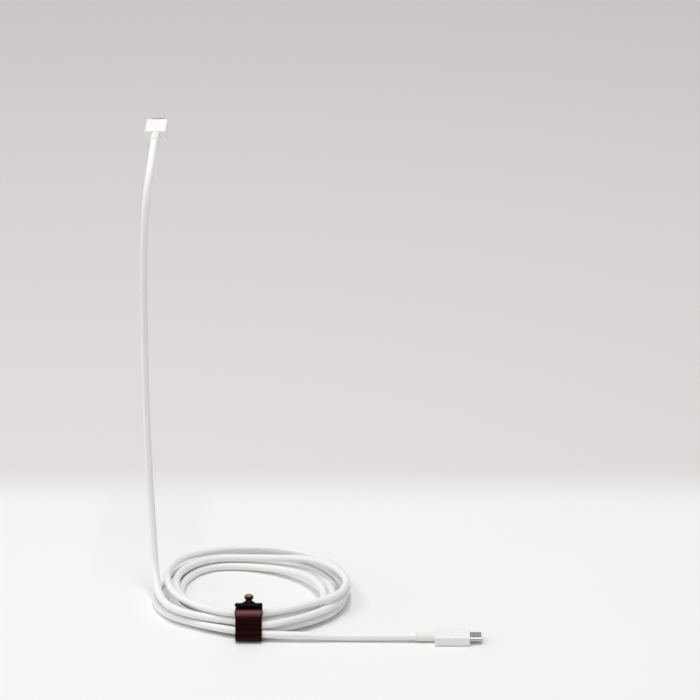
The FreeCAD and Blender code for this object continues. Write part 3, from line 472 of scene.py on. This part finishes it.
def bent_line(corners, radii, spacing=0.3):
    """Places and outward normals along straight runs joined by tangent arcs, evenly spaced by arc length."""
    corners = np.array(corners)
    line = [corners[:1]]
    for before, corner, following, radius in zip(corners, corners[1:], corners[2:], radii):
        back = (before - corner) / np.linalg.norm(before - corner)
        onward = (following - corner) / np.linalg.norm(following - corner)
        half_turn = (math.pi - math.acos(back @ onward)) / 2
        inward = (back + onward) / np.linalg.norm(back + onward)
        along = (onward - back) / np.linalg.norm(onward - back)
        angle = np.linspace(-half_turn, half_turn, 40)[:, None]
        line.append(corner + inward * radius / math.cos(half_turn)
                    - radius * (inward * np.cos(angle) - along * np.sin(angle)))
    line = np.concatenate(line + [corners[-1:]])
    run = np.concatenate([[0.0], np.cumsum(np.linalg.norm(np.diff(line, axis=0), axis=1))])
    even = np.linspace(0.0, run[-1], int(run[-1] / spacing) + 1)
    places = np.stack([np.interp(even, run, line[:, k]) for k in (0, 1)], axis=-1)
    heading_along = np.gradient(places, axis=0)
    heading_along /= np.linalg.norm(heading_along, axis=1)[:, None]
    return even, places, np.stack([heading_along[:, 1], -heading_along[:, 0]], axis=-1)


def thick_loop(length, thickness, start_round, end_round, count=26):
    """A flat loop (distance, height) round a sheet's section: under it outward, round the edge and back on top."""
    loop = []
    for side, corner_x, corner in ((1, length - end_round, end_round), (-1, start_round, start_round)):
        angle = np.linspace(-np.pi / 2, np.pi / 2, EDGE_POINTS)
        loop += [(corner_x + side * corner * math.cos(a), side * (thickness / 2 - corner) * (1 if a > 0 else -1)
                  + side * corner * math.sin(a)) for a in angle]
        inner = np.linspace(0.0, 1.0, count)[1:-1]
        span = (length - end_round - 0.1, start_round + 0.1)
        loop += [(span[0] + (span[1] - span[0]) * t if side == 1 else span[1] + (span[0] - span[1]) * t,
                  side * thickness / 2) for t in inner]
    return np.array(loop)


def strap_points(line, along, across, height):
    """Metre points of the strap: along and across it, and height over its middle line on the outer side."""
    run, places, normals = line
    side_view = [np.interp(along, run, places[:, k]) + height * np.interp(along, run, normals[:, k]) for k in (0, 1)]
    return np.stack([TIE_X + across, side_view[0], side_view[1] + TABLE], axis=-1) * MM


def mark_faces(piece, materials, steps, is_edge, is_flesh):
    """Gives the faces of a ring grid the grain, edge or flesh material, by segment of the ring and, where is_edge
    has a row for each step from ring to ring, by step too. The two end faces are painted."""
    piece.data.materials.clear()
    for material in materials:
        piece.data.materials.append(material)
    kinds = np.where(is_edge, 1, np.where(is_flesh, 2, 0))
    kinds = np.broadcast_to(kinds, (steps, kinds.shape[-1])).reshape(-1)
    piece.data.polygons.foreach_set("material_index", np.concatenate([kinds, [1, 1]]).astype(np.int32))


def leather_grain(material):
    """Waxed grain: pebbles of 0.5 mm with finer pores between them, and the dye darker in broad patches. Where the
    strap's point attribute is up to 1, over the front-top bend, a pale colour is mixed in as a painted highlight."""
    place = add(material, "ShaderNodeTexCoord").outputs["Object"]
    pebbles = add(material, "ShaderNodeTexVoronoi", {"Vector": place, "Scale": 2000.0}, feature="SMOOTH_F1")
    pores = add(material, "ShaderNodeTexNoise", {"Vector": place, "Scale": 5000.0, "Detail": 3.0})
    broad = add(material, "ShaderNodeTexNoise", {"Vector": place, "Scale": 260.0, "Detail": 3.0})
    low = add(material, "ShaderNodeBump", {"Height": pebbles.outputs["Distance"], "Strength": 0.16,
                                           "Distance": 0.00012}, invert=True)
    fine = add(material, "ShaderNodeBump", {"Height": pores.outputs["Fac"], "Strength": 0.10, "Distance": 0.00005,
                                            "Normal": low.outputs["Normal"]})
    dye = add(material, "ShaderNodeMix", {0: broad.outputs["Fac"], 6: linear("#120101"), 7: linear("#200203")},
              data_type="RGBA")
    # painted highlight: a pale colour mixed into the dye over the front-top bend
    painted_highlight = add(material, "ShaderNodeAttribute", attribute_name="painted_highlight")
    tint = add(material, "ShaderNodeMix", {0: painted_highlight.outputs["Fac"], 6: dye.outputs[2], 7: linear("#6E4143")},
               data_type="RGBA")
    rough = add(material, "ShaderNodeMapRange", {"Value": broad.outputs["Fac"], "To Min": 0.26, "To Max": 0.36})
    return {"Base Color": tint.outputs[2], "Normal": fine.outputs["Normal"], "Roughness": rough.outputs["Result"]}


leather = [
    finish_material("leather_oxblood_waxed", {
        "Specular IOR Level": 0.11, "Specular Tint": linear("#FFC4C4")}, leather_grain),
    finish_material("leather_edge_painted", {
        "Base Color": linear("#0B0505"), "Roughness": 0.55, "Specular IOR Level": 0.1}, moulded),
    finish_material("leather_flesh_suede", {
        "Base Color": linear("#3A1815"), "Roughness": 0.9, "Specular IOR Level": 0.2}, moulded),
]
band_line = bent_line([STUD_END, FRONT_TOP, FRONT_FOOT, REAR_FOOT, HINGE], [FRONT_BEND, WRAP_BEND, WRAP_BEND])
band_run = band_line[0]
band_loop = thick_loop(STRAP_W, LEATHER, LEATHER_EDGE, LEATHER_EDGE, 14)
band_lift = sum(depth * np.exp(-((band_run - FRONT_RUN - place) / width) ** 2) for place, depth, width in DENTS)
more, more_at, more_width = WIDENED_MORE
band_width = WIDENED + more * np.exp(-((band_run - FRONT_RUN - more_at) / more_width) ** 2)
band_taper = np.clip(band_run / LEATHER_EDGE, 0.0, 1.0)
band_taper = THIN_END + (1 - THIN_END) * np.sqrt(1 - (1 - band_taper) ** 2)
band_grid = strap_points(band_line, band_run[:, None], (band_loop[None, :, 0] - STRAP_W / 2) * band_width[:, None],
                         band_loop[None, :, 1] * band_taper[:, None] + band_lift[:, None])
band = surface("tie_band_leather", band_grid, leather[0])
segment_middle = (band_loop + np.roll(band_loop, -1, axis=0)) / 2
from_side = STRAP_W / 2 - np.abs(segment_middle[:, 0] - STRAP_W / 2)
mark_faces(band, leather, len(band_run) - 1, np.abs(from_side) < LEATHER_EDGE * 0.9, segment_middle[:, 1] < 0)
# painted highlight across the strap over its front-top bend, handed to the material as a point attribute
band_highlight = np.exp(-((band_run - FRONT_RUN - HIGHLIGHT_AT) / HIGHLIGHT_WIDTH) ** 2)
painted_highlight = band.data.attributes.new("painted_highlight", "FLOAT", "POINT")
painted_highlight.data.foreach_set("value", np.repeat(band_highlight, len(band_loop)).astype(np.float32))
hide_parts("tie_band")


# The leather tie's tail.
# The free end of the same strap. It folds over behind and lies over the stud end. A round hole with a slit
# behind it is pushed over the ball, the leather round the hole stands up against the stud's neck, and the lip in
# front droops a little.
HOLE_R = 1.55
HOLE_FROM_TIP = 4.0
CONE_R = 5.2
CONE_TOP_R = 1.7
CONE_H = 1.6
CONE_FROM_EDGE = 0.5       # the raised leather ends at least this far from the strap's edge
CONE_POWER = 1.8
LIP_L = 2.6
LIP_DROP = 0.45
TIP_SPREAD = 0.06
SLIT_L = 4.6
SLIT_W = 0.3
tail_line = bent_line([HINGE, REAR_TOP, TAIL_TIP], [REAR_BEND])
tail_length = tail_line[0][-1]
hole_at = tail_length - HOLE_FROM_TIP
half = STRAP_W / 2
sides = [((1e-4, 0.0), (half, 0.0), 12), ((half, 0.0), (half, tail_length), 34),
         ((half, tail_length), (-half, tail_length), 30), ((-half, tail_length), (-half, 0.0), 34),
         ((-half, 0.0), (-1e-4, 0.0), 13)]
border = np.concatenate([np.linspace(a, b, count, endpoint=count == 13) for a, b, count in sides])
outward = border - np.array([0.0, hole_at])
reach_out = np.linalg.norm(outward, axis=1)
outward /= reach_out[:, None]
tail_rings = []
for k, (direction, reach) in enumerate(zip(outward, reach_out)):
    at_hinge = border[k, 1] < 1e-6
    loop = thick_loop(reach - HOLE_R, LEATHER, LEATHER_EDGE, 0.01 if at_hinge else LEATHER_EDGE)
    from_hole = loop[:, 0]
    radius = HOLE_R + from_hole
    cone_reach = min(CONE_R, reach - CONE_FROM_EDGE)
    rise = np.clip((cone_reach - radius) / (cone_reach - CONE_TOP_R), 0.0, 1.0)
    near_tip = np.clip(direction[1] * radius + hole_at - tail_length + LIP_L, 0.0, LIP_L) / LIP_L
    height = loop[:, 1] + CONE_H * rise ** CONE_POWER - LIP_DROP * near_tip ** 2
    across = direction[0] * radius * (1 + TIP_SPREAD * near_tip)
    opening = SLIT_W / 2 * np.clip(1 - from_hole / SLIT_L, 0.0, 1.0) * (k == 0 or -(k == len(border) - 1))
    tail_rings.append(strap_points(tail_line, hole_at + direction[1] * radius, across + opening, height))
tail = surface("tie_tail_leather", np.stack(tail_rings), leather[0], body=None)
segment_middle = (loop + np.roll(loop, -1, axis=0)) / 2
on_hinge = border[:, 1] < 1e-6
in_loop = np.arange(len(loop))
rim = in_loop < EDGE_POINTS
hole_edge = (in_loop >= len(loop) // 2) & (in_loop < len(loop) // 2 + EDGE_POINTS)
mark_faces(tail, leather, len(border) - 1, hole_edge | (rim & ~(on_hinge[:-1] & on_hinge[1:])[:, None]),
           segment_middle[:, 1] < 0)
joint_vertices = (on_hinge[:, None] & rim).reshape(-1)
for edge in tail.data.edges:
    if joint_vertices[edge.vertices[0]] and joint_vertices[edge.vertices[1]]:
        edge.use_edge_sharp = True
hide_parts("tie_tail")
rear_up = np.array([0.0, REAR_TOP[0] - HINGE[0], REAR_TOP[1] - HINGE[1]])
rear_up /= np.linalg.norm(rear_up)
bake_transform(tail)


# The ball stud.
# Foot, neck and flattened ball turned in one piece from brass, lacquer worn off and darkened with age, with painted
# shade on the foot, the neck and the ball's underside. A screw from inside holds it on the strap, and the tail's
# hole snaps over the ball.
STUD_FOOT = (TIE_X, -132.97, TABLE + 16.82)
PAD_TILT = math.radians(27.0)
STUD_AXIS = np.array([0.0, math.sin(PAD_TILT), math.cos(PAD_TILT)])
BALL_R = 2.75
BALL_H = 5.45              # its widest place over the foot's underside
BALL_HALF_H = 2.0
BALL_FROM = -0.9           # radians: where the ball leaves the neck
STUD_SIDES = 72
SHADE_AND_WEAR_HEIGHTS = (5.2, 7.4)        # heights over the foot's underside where the dark of patina and painted shade gives way to bare brass
stud_profile = [(0.0, 0.0), (2.9, 0.0), (3.2, 0.08), (3.3, 0.22), (3.3, 0.38), (3.2, 0.5), (3.0, 0.55), (1.8, 0.58),
                (1.55, 0.68), (1.45, 0.9), (1.45, 3.35), (1.52, 3.62), (1.64, 3.8)]
low_angle = np.linspace(BALL_FROM, 0.0, 10)[1:]
top_angle = np.linspace(0.0, np.pi / 2, 18)[1:-1]
for a in np.concatenate([low_angle, top_angle]):
    stud_profile.append((BALL_R * math.cos(a), BALL_H + BALL_HALF_H * math.sin(a)))
stud_profile = np.array(stud_profile)[1:]
turn = np.linspace(0, 2 * np.pi, STUD_SIDES, endpoint=False)
stud_x = stud_profile[:, :1] * np.cos(turn)
stud_flat = stud_profile[:, :1] * np.sin(turn)
stud_up = np.broadcast_to(stud_profile[:, 1:], stud_x.shape)
stud_grid = np.stack([
    STUD_FOOT[0] + stud_x,
    STUD_FOOT[1] + stud_flat * math.cos(PAD_TILT) + stud_up * math.sin(PAD_TILT),
    STUD_FOOT[2] - stud_flat * math.sin(PAD_TILT) + stud_up * math.cos(PAD_TILT),
], axis=-1) * MM


def aged_brass(material):
    """Patina and painted shade make the foot, the neck and the ball's underside nearly black; brown in patches on
    the ball, and bare warm brass on its rubbed top.
    """
    place = add(material, "ShaderNodeTexCoord").outputs["Object"]
    along = add(material, "ShaderNodeVectorMath", {0: place, 1: tuple(STUD_AXIS)}, operation="DOT_PRODUCT")
    foot_level = float(np.array(STUD_FOOT) @ STUD_AXIS) * MM
    patches = add(material, "ShaderNodeTexNoise", {"Vector": place, "Scale": 420.0, "Detail": 5.0})
    # painted shade and patina below, bare brass above, by height along the stud's axis
    shade_and_wear = add(material, "ShaderNodeMapRange", {
        "Value": along.outputs["Value"], "From Min": foot_level + SHADE_AND_WEAR_HEIGHTS[0] * MM,
        "From Max": foot_level + SHADE_AND_WEAR_HEIGHTS[1] * MM})
    worn = add(material, "ShaderNodeMapRange", {"Value": patches.outputs["Fac"], "From Min": 0.25, "From Max": 0.55})
    both = add(material, "ShaderNodeMath", {0: worn.outputs["Result"], 1: shade_and_wear.outputs["Result"]},
               operation="MULTIPLY")
    tint = add(material, "ShaderNodeMix", {0: both.outputs["Value"], 6: linear("#2A1B0C"), 7: linear("#EBCB98")},
               data_type="RGBA")
    rough = add(material, "ShaderNodeMapRange", {"Value": worn.outputs["Result"], "To Min": 0.36, "To Max": 0.22})
    return {"Base Color": tint.outputs[2], "Roughness": rough.outputs["Result"]}


brass = finish_material("brass_patina_and_painted_shade", {"Metallic": 1.0}, aged_brass)
stud = surface("tie_stud_turned", stud_grid, brass)
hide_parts("tie_stud")
for material_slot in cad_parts["tie_stud_screw"].material_slots:
    material_slot.material = brass


# What the cord carries.
# The phone plug is on its far end, and the tie sits on its coil.
cord_pieces = [band, tail, stud, "tie_stud_screw", "phone_plug_relief_sleeve", "phone_plug_sleeve"]
cord_pieces += ["phone_plug_" + piece_name for piece_name in INSIDE if "phone_plug_" + piece_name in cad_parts]
